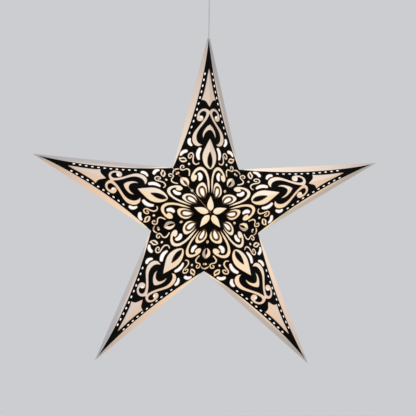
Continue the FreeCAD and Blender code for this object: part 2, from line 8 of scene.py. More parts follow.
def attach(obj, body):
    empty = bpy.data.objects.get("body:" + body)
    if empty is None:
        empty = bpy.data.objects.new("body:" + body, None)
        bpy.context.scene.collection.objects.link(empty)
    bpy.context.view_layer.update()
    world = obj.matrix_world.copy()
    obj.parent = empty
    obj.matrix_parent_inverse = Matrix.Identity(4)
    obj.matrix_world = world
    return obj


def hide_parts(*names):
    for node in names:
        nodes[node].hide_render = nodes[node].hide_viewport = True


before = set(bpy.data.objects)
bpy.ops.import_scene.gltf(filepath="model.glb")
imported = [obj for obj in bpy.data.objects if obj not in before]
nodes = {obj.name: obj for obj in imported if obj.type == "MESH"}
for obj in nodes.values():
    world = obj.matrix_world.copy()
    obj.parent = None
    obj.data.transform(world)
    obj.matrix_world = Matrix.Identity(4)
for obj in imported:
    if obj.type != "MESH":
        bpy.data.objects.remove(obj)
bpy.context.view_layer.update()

# Star of folded card
# Five arms, each folded from one sheet of thin cream card with four facets,
# glued along the valleys; the lamp inside makes the card glow, weaker toward
# the points and where the inner glue flap doubles it.
ARM_NAMES = ["top", "upper_right", "lower_right", "lower_left", "upper_left"]
ARM_ANGLE = 2 * math.pi / len(ARM_NAMES)
HALF_ARM = ARM_ANGLE / 2
STAR_CENTRE = Vector((0, 0, -0.430))
ARM_LENGTH = 0.3155
NOTCH_RADIUS = 0.0983
HALF_DEPTH = 0.0895
NOTCH_SIDE = NOTCH_RADIUS * math.sin(HALF_ARM)
NOTCH_HEIGHT = NOTCH_RADIUS * math.cos(HALF_ARM)
SPREAD = NOTCH_SIDE / (ARM_LENGTH - NOTCH_HEIGHT)
BULGE = HALF_DEPTH / ARM_LENGTH
FLAP_WIDTH = 0.0074
FLAP_ROOT = 0.096
FLAP_TAPER = 0.132
FLAP_EDGE = 2500
FRONT_LIMIT = 0.0002
JOINT_STRIP = 0.0078
JOINT_EDGE = 900
JOINT_START = 0.036
JOINT_SHADE = 0.75


def new_material(name, base, roughness):
    material = bpy.data.materials.new(name)
    material.use_nodes = True
    shader = material.node_tree.nodes["Principled BSDF"]
    shader.inputs["Base Color"].default_value = (*base, 1)
    shader.inputs["Roughness"].default_value = roughness
    return material, material.node_tree, shader


def math_node(tree, operation, first, second=None, clamp=False):
    node = tree.nodes.new("ShaderNodeMath")
    node.operation = operation
    node.use_clamp = clamp
    for socket, value in zip(node.inputs, (first, second)):
        if isinstance(value, (int, float)):
            socket.default_value = value
        elif value is not None:
            tree.links.new(value, socket)
    return node.outputs[0]


def mix_colour(tree, factor, first, second, blend="MIX"):
    node = tree.nodes.new("ShaderNodeMix")
    node.data_type = "RGBA"
    node.blend_type = blend
    for socket, value in zip((node.inputs[0], node.inputs[6], node.inputs[7]), (factor, first, second)):
        if isinstance(value, (int, float)):
            socket.default_value = value
        elif isinstance(value, tuple):
            socket.default_value = (*value, 1)
        else:
            tree.links.new(value, socket)
    return node.outputs[2]


def multiply_add(tree, value, factor, addend, clamp=False):
    result = math_node(tree, "MULTIPLY_ADD", value, factor, clamp)
    result.node.inputs[2].default_value = addend
    return result


def colour_ramp(tree, value, steps):
    node = tree.nodes.new("ShaderNodeValToRGB")
    tree.links.new(value, node.inputs[0])
    while len(node.color_ramp.elements) < len(steps):
        node.color_ramp.elements.new(0.5)
    for element, (position, colour) in zip(node.color_ramp.elements, steps):
        element.position = position
        element.color = (*colour, 1)
    return node.outputs["Color"]


def noise(tree, place, scale, detail=2):
    node = tree.nodes.new("ShaderNodeTexNoise")
    node.inputs["Scale"].default_value = scale
    node.inputs["Detail"].default_value = detail
    tree.links.new(place, node.inputs["Vector"])
    return node.outputs["Fac"]


def object_place(tree):
    return tree.nodes.new("ShaderNodeTexCoord").outputs["Object"]


def bump(tree, shader, height, strength, distance):
    node = tree.nodes.new("ShaderNodeBump")
    node.inputs["Strength"].default_value = strength
    node.inputs["Distance"].default_value = distance
    tree.links.new(height, node.inputs["Height"])
    tree.links.new(node.outputs["Normal"], shader.inputs["Normal"])


def new_group(name, inputs, outputs):
    group = bpy.data.node_groups.new(name, "ShaderNodeTree")
    for way, sockets in (("INPUT", inputs), ("OUTPUT", outputs)):
        for socket, kind in sockets:
            group.interface.new_socket(socket, in_out=way, socket_type="NodeSocket" + kind)
    return group, group.nodes.new("NodeGroupInput"), group.nodes.new("NodeGroupOutput")


def lit_card_group():
    group, start, end = new_group(
        "lit_card",
        [
            ("Arm Place", "Vector"),
            ("Left Light", "Color"),
            ("Right Light", "Color"),
            ("Joint Shade", "Float"),
        ],
        [("Glow", "Color"), ("Fibre", "Float")],
    )
    place = start.outputs["Arm Place"]

    # Light through the card falls off with distance from the lamp
    reach = group.nodes.new("ShaderNodeVectorMath")
    reach.operation = "LENGTH"
    group.links.new(place, reach.inputs[0])
    reach = reach.outputs["Value"]
    plain = colour_ramp(group, math_node(group, "DIVIDE", reach, ARM_LENGTH), [
        (0.06, (0.70, 0.590, 0.450)),
        (0.20, (0.76, 0.650, 0.440)),
        (0.40, (0.68, 0.540, 0.395)),
        (0.55, (0.60, 0.440, 0.335)),
        (0.72, (0.49, 0.370, 0.295)),
        (0.85, (0.38, 0.285, 0.235)),
        (1.00, (0.26, 0.205, 0.185)),
    ])

    # Painted shade: the glow is dimmer and greyer where the glue flap doubles the card along the clockwise
    # side edge of the front
    split = group.nodes.new("ShaderNodeSeparateXYZ")
    group.links.new(place, split.inputs[0])
    side, back, height = split.outputs
    edge = math_node(group, "MULTIPLY", math_node(group, "SUBTRACT", ARM_LENGTH, height), SPREAD)
    above_root = math_node(group, "SUBTRACT", height, FLAP_ROOT)
    taper = math_node(group, "DIVIDE", above_root, FLAP_TAPER - FLAP_ROOT, clamp=True)
    inner = math_node(group, "SUBTRACT", edge, math_node(group, "MULTIPLY", taper, FLAP_WIDTH))
    beyond = math_node(group, "MULTIPLY", math_node(group, "SUBTRACT", side, inner), FLAP_EDGE, clamp=True)
    front = math_node(group, "LESS_THAN", back, FRONT_LIMIT)
    doubled = math_node(group, "MULTIPLY", beyond, front)

    # Painted light: facets that look down glow warmer, those that look up are greyer, as if cool light from
    # above fell on them
    geometry = group.nodes.new("ShaderNodeNewGeometry")
    facing = group.nodes.new("ShaderNodeSeparateXYZ")
    group.links.new(geometry.outputs["Normal"], facing.inputs[0])
    downward = multiply_add(group, facing.outputs["Z"], -0.65, 0.5, clamp=True)
    facing_light_tint = mix_colour(group, downward, (0.98, 1.02, 1.12), (1.10, 0.98, 0.82))
    flap_shaded_glow = mix_colour(group, 0.6, plain, (0.105, 0.150, 0.195))
    glow = mix_colour(group, doubled, plain, flap_shaded_glow)
    glow = mix_colour(group, 1.0, glow, facing_light_tint, "MULTIPLY")

    # Glued tabs behind the left facet keep light from a strip by the valley
    sideways = math_node(group, "MULTIPLY", side, math.cos(HALF_ARM))
    upward = math_node(group, "MULTIPLY", height, math.sin(HALF_ARM))
    from_valley = math_node(group, "ADD", sideways, upward)
    tabbed = multiply_add(group, from_valley, -JOINT_EDGE, JOINT_EDGE * JOINT_STRIP, clamp=True)
    tabbed = math_node(group, "MULTIPLY", tabbed, math_node(group, "LESS_THAN", side, 0))
    outward = math_node(group, "SUBTRACT", height, JOINT_START)
    tabbed = math_node(group, "MULTIPLY", tabbed, math_node(group, "MULTIPLY", outward, 100, clamp=True))
    tabbed = math_node(group, "MULTIPLY", tabbed, start.outputs["Joint Shade"])
    glow = mix_colour(group, tabbed, glow, (0.16, 0.13, 0.14))

    # Away from the middle each side of an arm gets its own share of the light
    right = math_node(group, "GREATER_THAN", side, 0)
    share_of_lamp = mix_colour(group, right, start.outputs["Left Light"], start.outputs["Right Light"])
    middle_passed = multiply_add(group, reach, 33, -3, clamp=True)
    share_of_lamp = mix_colour(group, middle_passed, (1.0, 1.0, 1.0), share_of_lamp)
    glow = mix_colour(group, 1.0, glow, share_of_lamp, "MULTIPLY")

    # Cut edges and the faces inside the seams let the lamp's light out
    along = math_node(group, "LESS_THAN", math_node(group, "ABSOLUTE", facing.outputs["Y"]), 0.05)
    far = math_node(group, "MULTIPLY", reach, 4.5, clamp=True)
    leak = mix_colour(group, far, (0.05, 0.020, 0.008), (0.42, 0.150, 0.055))
    glow = mix_colour(group, along, glow, leak)

    # Fibres in the card
    fibre = noise(group, place, 420, detail=6)
    glow = mix_colour(group, 1.0, glow, multiply_add(group, fibre, 0.22, 0.89), "MULTIPLY")
    group.links.new(glow, end.inputs["Glow"])
    group.links.new(fibre, end.inputs["Fibre"])
    return group


LIT_CARD = lit_card_group()
CARD_TONE = (0.30, 0.262, 0.225)
# The lamp holder shades the top arm, and the lamp hangs a little to the right
LAMP_SHARE = {
    "top": ((0.84, 0.89, 0.95), (0.76, 0.76, 0.80)),
    "upper_right": ((1.13, 1.16, 1.14), (1.03, 1.04, 1.00)),
    "lower_right": ((1.05, 1.05, 1.02), (1.06, 1.08, 1.10)),
    "lower_left": ((0.95, 0.96, 0.97), (0.84, 0.91, 1.02)),
    "upper_left": ((1.01, 1.01, 1.00), (0.92, 0.94, 0.98)),
}


def card_material(index):
    material, tree, shader = new_material("lit_card_" + ARM_NAMES[index], CARD_TONE, 0.75)
    shader.inputs["Specular IOR Level"].default_value = 0.25
    turn = tree.nodes.new("ShaderNodeMapping")
    angle = -index * ARM_ANGLE
    turn.inputs["Rotation"].default_value = (0, angle, 0)
    turn.inputs["Location"].default_value = Matrix.Rotation(angle, 3, "Y") @ -STAR_CENTRE
    tree.links.new(object_place(tree), turn.inputs["Vector"])
    light = tree.nodes.new("ShaderNodeGroup")
    light.node_tree = LIT_CARD
    for socket, tint in zip(("Left Light", "Right Light"), LAMP_SHARE[ARM_NAMES[index]]):
        light.inputs[socket].default_value = (*tint, 1)
    # The top arm's left valley is the seam closed last, with pads and no glue
    light.inputs["Joint Shade"].default_value = 0.0 if index == 0 else JOINT_SHADE
    tree.links.new(turn.outputs["Vector"], light.inputs["Arm Place"])
    tree.links.new(light.outputs["Glow"], shader.inputs["Emission Color"])
    shader.inputs["Emission Strength"].default_value = 1
    bump(tree, shader, light.outputs["Fibre"], 0.15, 0.0004)
    return material


def paint(name, material):
    for slot in nodes[name].material_slots:
        slot.material = material


for index, arm in enumerate(ARM_NAMES):
    paint("arm_" + arm, card_material(index))

# Black print on the front of the arms
# A scroll, heart, leaf and petal ornament screen-printed in black on each flat
# sheet before it is folded; the cream shapes are bare card left in the black.
PRINT_TOP = (0.0, 305.0)
PRINT_WAIST = (20.4, 191.0)
PRINT_NOTCH = (NOTCH_SIDE * 1000, NOTCH_HEIGHT * 1000)
INK_LIFT = 0.00008
SEAM_HALF = 0.5
VALLEY_OUT = Vector((math.sin(HALF_ARM), math.cos(HALF_ARM)))
VALLEY_IN = Vector((-math.cos(HALF_ARM), math.sin(HALF_ARM)))


# A corner of an outline, against its smooth points
def corner(side, height):
    return side, height, True


# A point beside the valley: distance from the centre along it, and from it
def by_valley(along, aside, sharp=False):
    place = VALLEY_OUT * along + VALLEY_IN * aside
    return place.x, place.y, sharp


# Pen stroke: middle line with half-widths, turned into a closed outline
def stroke(line):
    left, right = [], []
    for i, (side, height, half) in enumerate(line):
        before = line[max(i - 1, 0)]
        after = line[min(i + 1, len(line) - 1)]
        way = Vector((after[0] - before[0], after[1] - before[1])).normalized()
        left.append((side - way.y * half, height + way.x * half))
        right.append((side + way.y * half, height - way.x * half))
    return left + right[::-1]


# Circle through three points: centre and radius
def circle_through(first, middle, last):
    (ax, ay), (bx, by), (cx, cy) = first, middle, last
    turn = 2 * (ax * (by - cy) + bx * (cy - ay) + cx * (ay - by))
    sa, sb, sc = ax * ax + ay * ay, bx * bx + by * by, cx * cx + cy * cy
    mx = (sa * (by - cy) + sb * (cy - ay) + sc * (ay - by)) / turn
    my = (sa * (cx - bx) + sb * (ax - cx) + sc * (bx - ax)) / turn
    return mx, my, math.hypot(ax - mx, ay - my), turn


def arc(first, middle, last, count):
    mx, my, radius, turn = circle_through(first, middle, last)
    start = math.atan2(first[1] - my, first[0] - mx)
    way = 1 if turn > 0 else -1
    sweep = (math.atan2(last[1] - my, last[0] - mx) - start) * way % (2 * math.pi) * way
    angles = [start + sweep * i / count for i in range(count)]
    return [(mx + radius * math.cos(angle), my + radius * math.sin(angle)) for angle in angles]


# Bent bean round three points of its middle line, as the card is punched
def bean(ends, widths):
    a, b, c = [Vector(end) for end in ends]
    wa, wb, wc = widths
    ta = (b - a - 0.25 * (c - a)).normalized()
    tb = (c - a).normalized()
    tc = (c - b - 0.25 * (c - a)).normalized()

    def beside(point, way, width):
        return point.x - way.y * width, point.y + way.x * width

    knots = [
        beside(a, ta, wa),
        beside(b, tb, wb),
        beside(c, tc, wc),
        tuple(c + tc * wc),
        beside(c, tc, -wc),
        beside(b, tb, -wb),
        beside(a, ta, -wa),
        tuple(a - ta * wa),
    ]
    outline = []
    for i in (0, 2, 4, 6):
        outline += arc(knots[i], knots[i + 1], knots[(i + 2) % 8], 10)
    return outline


def oval(side, height, half_length, half_width, lean, count=20):
    outline = []
    for i in range(count):
        turn = 2 * math.pi * i / count
        along = half_length * math.cos(turn)
        across = half_width * math.sin(turn)
        outline.append((side + across * math.cos(lean) + along * math.sin(lean),
                        height - across * math.sin(lean) + along * math.cos(lean)))
    return outline


# Windows punched through print and card
BEANS = [
    bean([(31.3, 128.6), (31.9, 123.4), (28.8, 118.4)], (2.0, 2.5, 1.7)),
    bean([(37.0, 108.3), (41.6, 106.7), (45.2, 102.0)], (2.5, 2.6, 1.6)),
    bean([(15.4, 111.2), (18.6, 103.0), (17.6, 93.8)], (2.2, 2.7, 1.7)),
    bean([(16.6, 67.2), (14.9, 62.0), (16.2, 58.0)], (2.6, 2.9, 2.2)),
    bean([(13.2, 40.2), (12.4, 35.2), (10.5, 29.9)], (2.5, 2.6, 0.8)),
]
SEED = oval(32.5, 85.4, 1.8, 1.35, 0)
DOT_COUNT = 11
DOT_ARC = [(6.6, 243.2), (16.8, 191.0), (31.2, 140.0)]


def border_dots():
    mx, my, radius, turn = circle_through(*DOT_ARC)
    places = arc(*DOT_ARC, DOT_COUNT - 1) + [DOT_ARC[2]]
    return [oval(side, height, 2.2, 1.12, math.atan2(height - my, mx - side), 14) for side, height in places]


DOTS = border_dots()

# Cream shapes of one half of an arm
HALF_SHAPES = [
    # hooked scroll beside the ridge
    [corner(2.4, 34.5), (1.7, 48), (2.4, 59), (4.6, 68.5), (8.6, 76), (15, 79.6), (21.5, 77), (26, 71),
     (28.9, 64.5), (29.3, 59), (26.5, 55.2), (22.8, 57.2), (20.9, 61.5), (21.6, 65.6), corner(24.6, 65.2),
     (23.4, 69.2), (20, 72.8), (15.3, 74.5), (10.8, 72), (7.2, 66), (5.2, 58.5), (4.2, 48)],
    # petal, the dark ring in it, and the light round its window
    [corner(8.8, 26.3), (6.4, 33), (5.9, 40), (7.4, 47.5), (11.2, 52.3), (16.2, 50.5), (20.1, 45.5),
     (21.7, 39), (20.6, 33), (16.2, 28.6)],
    [corner(9.6, 28.0), (8.2, 34), (8.5, 40), (10.3, 44.4), (13.5, 46.0), (16.9, 43.3), (17.7, 38.5),
     (16.2, 33.2), (13.0, 29.6)],
    # sprout, bud and small leaf, cut in half by the valley
    [by_valley(45.5, 0.3, True), by_valley(46.8, 1.5), by_valley(49, 1.7), by_valley(51, 0.3, True)],
    [by_valley(58.5, 0.6, True), by_valley(61, 3.8), by_valley(65.5, 6.2), by_valley(70.5, 6.4),
     by_valley(74, 3.8), by_valley(76.6, 0.3, True), by_valley(71.5, 0.3, True), by_valley(68, 1.9),
     by_valley(63, 2.0)],
    [by_valley(84.4, 0.3, True), by_valley(84.6, 2.0), by_valley(86.2, 3.3), by_valley(87.6, 1.9),
     by_valley(87.4, 0.3, True)],
    # small curls
    stroke([(32.6, 64.7, 0.3), (32.0, 69.5, 0.8), (32.7, 75.0, 1.0), (36.2, 77.0, 0.9), (40.4, 75.6, 0.8),
            (44.0, 75.5, 0.9), (45.8, 78.9, 0.8), (44.2, 82.9, 0.8), (41.2, 82.6, 0.8), (40.6, 80.1, 0.6),
            (42.2, 79.0, 0.3)]),
    stroke([(16.9, 87.0, 0.3), (19.3, 84.9, 0.7), (22.6, 84.7, 0.9), (25.5, 87.4, 1.0), (26.3, 92.2, 0.9),
            (25.9, 97.6, 0.9), (26.0, 101.9, 0.9), (28.5, 104.6, 0.9), (32.0, 102.9, 0.9),
            (33.3, 98.9, 0.8), (31.8, 95.6, 0.8), (29.4, 97.1, 0.7), (29.0, 100.0, 0.3)]),
    # arch over the small leaf
    [by_valley(93.0, 0.3, True), by_valley(92.4, 2.6), by_valley(90.6, 5.6), by_valley(89.8, 7.4),
     by_valley(91.2, 6.6), by_valley(93.6, 4.2), by_valley(94.8, 1.8), by_valley(95.0, 0.3, True)],
    # leaflet and its vein
    [corner(35.6, 91.0), (37.8, 95.6), (41, 97.7), (44.8, 96.9), corner(48.3, 97.3), (47.1, 92.8),
     (43.8, 89.4), (39.2, 89.1)],
    [corner(38.4, 92.8), (41.8, 94.1), corner(45.3, 93.4), (41.8, 92.6)],
]

# Cream shapes that cross the ridge: their right half, from top to bottom
RIDGE_SHAPES = [
    # slim pointed field near the tip, notched below by two round lobes
    [corner(0, 251.5), (1.4, 245), (2.6, 238.5), (4.1, 229), (6.0, 219.5), (8.1, 210), (10.2, 202.5),
     corner(12.3, 197.5), (9.4, 196.9), (6.0, 194.8), (3.7, 191.5), (1.8, 187.6), corner(0, 184.3)],
    # heart of two scrolls joined on the ridge
    [corner(0, 176.0), (3.1, 179.3), (7.1, 181.2), (11.6, 180.7), (15.6, 177.5), (18.4, 172.5),
     (19.6, 167), (18.9, 162.4), (15.9, 160), (12.4, 160.2), (10.1, 163), (10.2, 166.3), (12.3, 168.8),
     corner(15.4, 169.3), (15.5, 172.3), (13.2, 175.8), (9.9, 177.5), (6.6, 176.6), (4.9, 172.8),
     (6.2, 167.4), (9.6, 160.8), (14.1, 154.4), (19.3, 147.6), (23.7, 141.2), (26.3, 135), (27, 129),
     (25.9, 122.8), (22.6, 118.1), (17.8, 116.4), corner(12.4, 118.0), (16.8, 120.6), (19.7, 124.8),
     (20.9, 130.5), (20.3, 136.5), (18.0, 142.6), (14.2, 148.6), (9.6, 154.9), (5.2, 161.4), (2.0, 167.6),
     corner(0, 172.2)],
    # arch over the leaf
    [corner(0, 152.4), (3.4, 150.0), (7, 145.4), (9.6, 140.4), (10.8, 135), corner(10.4, 130.4),
     (8.6, 136), (6, 140.3), (3, 142.9), (0, 143.6)],
    # leaf, closed round its dark slit
    [corner(0, 127.8), (3.5, 120.8), (6.1, 115.0), (8.7, 109.2), (10.8, 103.2), (11.6, 97.0),
     (10.9, 90.0), (8.4, 83.2), (5.2, 78.6), (2.4, 76.2), (0, 75.4)],
    [corner(0, 104.6), (1.5, 100.6), (3.0, 95.2), (3.6, 89), (2.6, 82.4), corner(0, 77.8)],
    # almond of the middle flower
    [corner(0, 28.9), (2.2, 23.8), (4.5, 17.8), (5.2, 12.4), (3.7, 7.6), corner(0, 4.2)],
]


def mirrored(loop):
    return [(-point[0], *point[1:]) for point in loop]


# Whole outline of a shape whose right half runs down the ridge
def across_ridge(half):
    inner = [point for point in half if point[0] != 0]
    return half + mirrored(inner)[::-1]


# The black field of an arm, down to the valleys and the star's centre
def black_field():
    right = arc(PRINT_TOP, PRINT_WAIST, PRINT_NOTCH, 24)
    return right + [PRINT_NOTCH, (0.0, 0.0), mirrored([PRINT_NOTCH])[0]] + mirrored(right[1:])[::-1]


def flat_curve(name, loops):
    curve = bpy.data.curves.new(name, "CURVE")
    curve.dimensions = "2D"
    curve.fill_mode = "BOTH"
    curve.resolution_u = 7
    for loop in loops:
        spline = curve.splines.new("BEZIER")
        spline.bezier_points.add(len(loop) - 1)
        for knot, point in zip(spline.bezier_points, loop):
            knot.co = (point[0], point[1], 0)
            sharp = len(point) > 2 and point[2]
            kind = "VECTOR" if sharp else "AUTO"
            knot.handle_left_type = kind
            knot.handle_right_type = kind
        spline.use_cyclic_u = True
    return curve


def poly_loops(curve, loops):
    for loop in loops:
        spline = curve.splines.new("POLY")
        spline.points.add(len(loop) - 1)
        for knot, point in zip(spline.points, loop):
            knot.co = (point[0], point[1], 0, 1)
        spline.use_cyclic_u = True


# Mesh of a flat curve: filled, or its bare outlines when open_lines is set
def drawn(curve, open_lines=False):
    curve.fill_mode = "NONE" if open_lines else "BOTH"
    flat = bpy.data.objects.new("print", curve)
    bpy.context.scene.collection.objects.link(flat)
    bpy.context.view_layer.update()
    data = bpy.data.meshes.new_from_object(flat.evaluated_get(bpy.context.evaluated_depsgraph_get()))
    bpy.data.objects.remove(flat)
    return data


# Closed lines of points along the smooth outlines, a shape after the other
def outlines(loops):
    found = []
    for loop in loops:
        data = drawn(flat_curve("outline", [loop]), open_lines=True)
        found.append([vertex.co.xy.copy() for vertex in data.vertices])
        bpy.data.meshes.remove(data)
    return found


# Strip of light beside an outline: bright at its edge, gone at its far side
def rim(mesh, glow, line, width, strength):
    count = len(line)
    area = sum(line[i].cross(line[(i + 1) % count]) for i in range(count))
    away = 1 if area > 0 else -1
    near, far = [], []
    for i in range(count):
        way = (line[(i + 1) % count] - line[i - 1]).normalized()
        outward = Vector((way.y, -way.x)) * away * width
        near.append(mesh.verts.new((line[i].x, line[i].y, 0)))
        far.append(mesh.verts.new((line[i].x + outward.x, line[i].y + outward.y, 0)))
        near[i][glow] = strength
    for i in range(count):
        j = (i + 1) % count
        mesh.faces.new((near[i], near[j], far[j], far[i]))


def both_sides(loops):
    return loops + [mirrored(loop) for loop in loops]


# Flat print in millimetres folded onto the front of an arm
def fold_onto_arm(mesh, index, lift):
    for vertex in mesh.verts:
        side, height = vertex.co.x / 1000, vertex.co.y / 1000
        depth = BULGE * (ARM_LENGTH - height - abs(side) / SPREAD)
        vertex.co = (side, -depth - lift - vertex.co.z / 1000, height)
    turn = Matrix.Rotation(index * ARM_ANGLE, 4, "Y")
    bmesh.ops.transform(mesh, matrix=Matrix.Translation(STAR_CENTRE) @ turn, verts=mesh.verts)


def object_from(name, mesh, material):
    data = bpy.data.meshes.new(name)
    mesh.to_mesh(data)
    mesh.free()
    data.materials.append(material)
    piece = bpy.data.objects.new(name, data)
    bpy.context.scene.collection.objects.link(piece)
    return piece


def finish_piece(name, mesh, material):
    piece = object_from(name, mesh, material)
    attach(piece, "root")
    return piece


def ink_material():
    material, tree, shader = new_material("black_print", (0.002, 0.002, 0.002), 0.7)
    shader.inputs["Specular IOR Level"].default_value = 0.04
    grain = noise(tree, object_place(tree), 700)
    tone = mix_colour(tree, grain, (0.0012, 0.0011, 0.0012), (0.0036, 0.0028, 0.0024))
    tree.links.new(tone, shader.inputs["Base Color"])
    # Light bleeds sideways through the card, brown at the edge of each opening
    bleed = tree.nodes.new("ShaderNodeAttribute")
    bleed.attribute_name = "glow"
    brown = colour_ramp(tree, bleed.outputs["Fac"], [
        (0.0, (0.0, 0.0, 0.0)),
        (0.4, (0.085, 0.036, 0.010)),
        (1.0, (0.40, 0.200, 0.065)),
    ])
    tree.links.new(brown, shader.inputs["Emission Color"])
    shader.inputs["Emission Strength"].default_value = 1
    bump(tree, shader, grain, 0.1, 0.0003)
    return material


INK = ink_material()
WINDOW_RIM = 1.4
PETAL_RIM = 3.2
CREAM_RIM = 1.0
CREAM_GLOW = 0.62
RIM_LIFT = 0.03


# Bare-card shapes, windows and the filled black between them, flat
def flat_print():
    cream = flat_curve("cream", both_sides(HALF_SHAPES) + [across_ridge(half) for half in RIDGE_SHAPES])
    poly_loops(cream, [black_field()] + both_sides(BEANS + DOTS + [SEED]))
    field = drawn(cream)
    mesh = bmesh.new()
    mesh.from_mesh(field)
    bpy.data.meshes.remove(field)
    glow = mesh.verts.layers.float.new("glow")
    bmesh.ops.remove_doubles(mesh, verts=mesh.verts, dist=0.0005)
    under = mesh.verts[:]
    for vertex in under:
        vertex.co.z = 0
    for hole in both_sides(BEANS[:-1] + [SEED]):
        rim(mesh, glow, [Vector(point) for point in hole], WINDOW_RIM, 0.9)
    for hole in both_sides(BEANS[-1:]):
        rim(mesh, glow, [Vector(point) for point in hole], PETAL_RIM, 1.0)
    for line in outlines(both_sides(HALF_SHAPES) + [across_ridge(half) for half in RIDGE_SHAPES]):
        rim(mesh, glow, line, CREAM_RIM, CREAM_GLOW)
    for vertex in mesh.verts[len(under):]:
        vertex.co.z = RIM_LIFT
    return mesh


FLAT_PRINT = flat_print()


def print_arm(index):
    mesh = FLAT_PRINT.copy()
    gap_left = SEAM_HALF if index == 0 else 0.0
    gap_right = SEAM_HALF if index == len(ARM_NAMES) - 1 else 0.0
    cuts = [
        ((0, 0, 0), (1, 0, 0), False),
        (VALLEY_IN * gap_right, -VALLEY_IN, True),
        (VALLEY_IN.reflect(Vector((1, 0))) * gap_left, -VALLEY_IN.reflect(Vector((1, 0))), True),
    ]
    for point, normal, clear in cuts:
        everything = mesh.verts[:] + mesh.edges[:] + mesh.faces[:]
        bmesh.ops.bisect_plane(mesh, geom=everything, plane_co=(point[0], point[1], 0),
                               plane_no=(normal[0], normal[1], 0), dist=0.0005, clear_outer=clear)
    fold_onto_arm(mesh, index, INK_LIFT)
    mesh.normal_update()
    for face in mesh.faces:
        if face.normal.y > 0:
            face.normal_flip()
    return finish_piece("print_" + ARM_NAMES[index], mesh, INK)


for index in range(len(ARM_NAMES)):
    print_arm(index)

# Backing paper
# White translucent paper glued behind the punched windows; with the lamp on it
# is the brightest part of the star.
def paper_material():
    material, tree, shader = new_material("backing_paper", (0.3, 0.3, 0.3), 0.9)
    shader.inputs["Specular IOR Level"].default_value = 0.1
    cloud = noise(tree, object_place(tree), 260, detail=5)
    white = mix_colour(tree, cloud, (0.27, 0.26, 0.25), (0.30, 0.30, 0.30))
    tree.links.new(white, shader.inputs["Base Color"])
    lit = mix_colour(tree, cloud, (0.78, 0.77, 0.74), (0.84, 0.84, 0.83))
    tree.links.new(lit, shader.inputs["Emission Color"])
    shader.inputs["Emission Strength"].default_value = 1
    return material


PAPER = paper_material()
for arm in ARM_NAMES:
    paint("backing_" + arm, PAPER)

# Grip pads
# Two pairs of self-gripping woven pads glued on the tabs of the seam that is
# closed last, hooks on one arm and loops on the next.
THREAD = 0.0009


def woven_group():
    group, start, end = new_group(
        "woven_tape",
        [("Place", "Vector"), ("Thread Tone", "Color"), ("Gap Tone", "Color")],
        [("Colour", "Color"), ("Height", "Float")],
    )
    # Weft and warp: two waves across each other
    split = group.nodes.new("ShaderNodeSeparateXYZ")
    group.links.new(start.outputs["Place"], split.inputs[0])
    waves = []
    for axis in ("Y", "Z"):
        turns = math_node(group, "MULTIPLY", split.outputs[axis], 2 * math.pi / THREAD)
        waves.append(math_node(group, "SINE", turns))
    weave = multiply_add(group, math_node(group, "MULTIPLY", *waves), 0.5, 0.5)
    fluff = math_node(group, "MULTIPLY", noise(group, start.outputs["Place"], 1800), 0.6)
    raised = math_node(group, "ADD", fluff, weave)
    colour = mix_colour(group, weave, start.outputs["Gap Tone"], start.outputs["Thread Tone"])
    group.links.new(colour, end.inputs["Colour"])
    group.links.new(raised, end.inputs["Height"])
    return group


WOVEN = woven_group()


def pad_material(name, thread_tone, gap_tone, pile):
    material, tree, shader = new_material(name, thread_tone, 0.85)
    weave = tree.nodes.new("ShaderNodeGroup")
    weave.node_tree = WOVEN
    tree.links.new(object_place(tree), weave.inputs["Place"])
    weave.inputs["Thread Tone"].default_value = (*thread_tone, 1)
    weave.inputs["Gap Tone"].default_value = (*gap_tone, 1)
    tree.links.new(weave.outputs["Colour"], shader.inputs["Base Color"])
    bump(tree, shader, weave.outputs["Height"], 0.8, pile)
    return material


paint("closing_pads_hook", pad_material("hook_tape", (0.66, 0.66, 0.65), (0.40, 0.40, 0.39), 0.0005))
paint("closing_pads_loop", pad_material("loop_tape", (0.74, 0.74, 0.73), (0.52, 0.52, 0.51), 0.0003))

# Cord stopper
# Small four-sided plug of white moulded plastic threaded on the cord; it wedges
# under the four facets of the top arm and carries the star.
def moulding_group():
    group, start, end = new_group(
        "moulded_skin",
        [("Place", "Vector"), ("Tone", "Color"), ("Flow Tone", "Color"), ("Middle Roughness", "Float")],
        [("Colour", "Color"), ("Roughness", "Float"), ("Height", "Float")],
    )
    # Flow marks of the melt, and the fine texture of the mould's face
    flow = group.nodes.new("ShaderNodeTexNoise")
    flow.inputs["Scale"].default_value = 55
    flow.inputs["Detail"].default_value = 3
    flow.inputs["Distortion"].default_value = 1.2
    group.links.new(start.outputs["Place"], flow.inputs["Vector"])
    face = noise(group, start.outputs["Place"], 1500)
    colour = mix_colour(group, flow.outputs["Fac"], start.outputs["Flow Tone"], start.outputs["Tone"])
    uneven = multiply_add(group, flow.outputs["Fac"], 0.16, -0.08)
    roughness = math_node(group, "ADD", start.outputs["Middle Roughness"], uneven, clamp=True)
    group.links.new(colour, end.inputs["Colour"])
    group.links.new(roughness, end.inputs["Roughness"])
    group.links.new(face, end.inputs["Height"])
    return group


MOULDED = moulding_group()


def moulded_plastic(name, tone, flow_tone, roughness, texture=0.12):
    material, tree, shader = new_material(name, tone, roughness)
    skin = tree.nodes.new("ShaderNodeGroup")
    skin.node_tree = MOULDED
    tree.links.new(object_place(tree), skin.inputs["Place"])
    skin.inputs["Tone"].default_value = (*tone, 1)
    skin.inputs["Flow Tone"].default_value = (*flow_tone, 1)
    skin.inputs["Middle Roughness"].default_value = roughness
    tree.links.new(skin.outputs["Colour"], shader.inputs["Base Color"])
    tree.links.new(skin.outputs["Roughness"], shader.inputs["Roughness"])
    bump(tree, shader, skin.outputs["Height"], texture, 0.0002)
    return material


WHITE_PLASTIC = moulded_plastic("white_plastic", (0.78, 0.78, 0.77), (0.72, 0.72, 0.70), 0.42)
paint("cord_stopper", WHITE_PLASTIC)

# Bulb
# Lamp of opal glass, lit, with a narrow neck and a threaded metal base that
# screws into the holder above it.
BASE_FOOT = -0.396
THREAD_PITCH = 0.0028


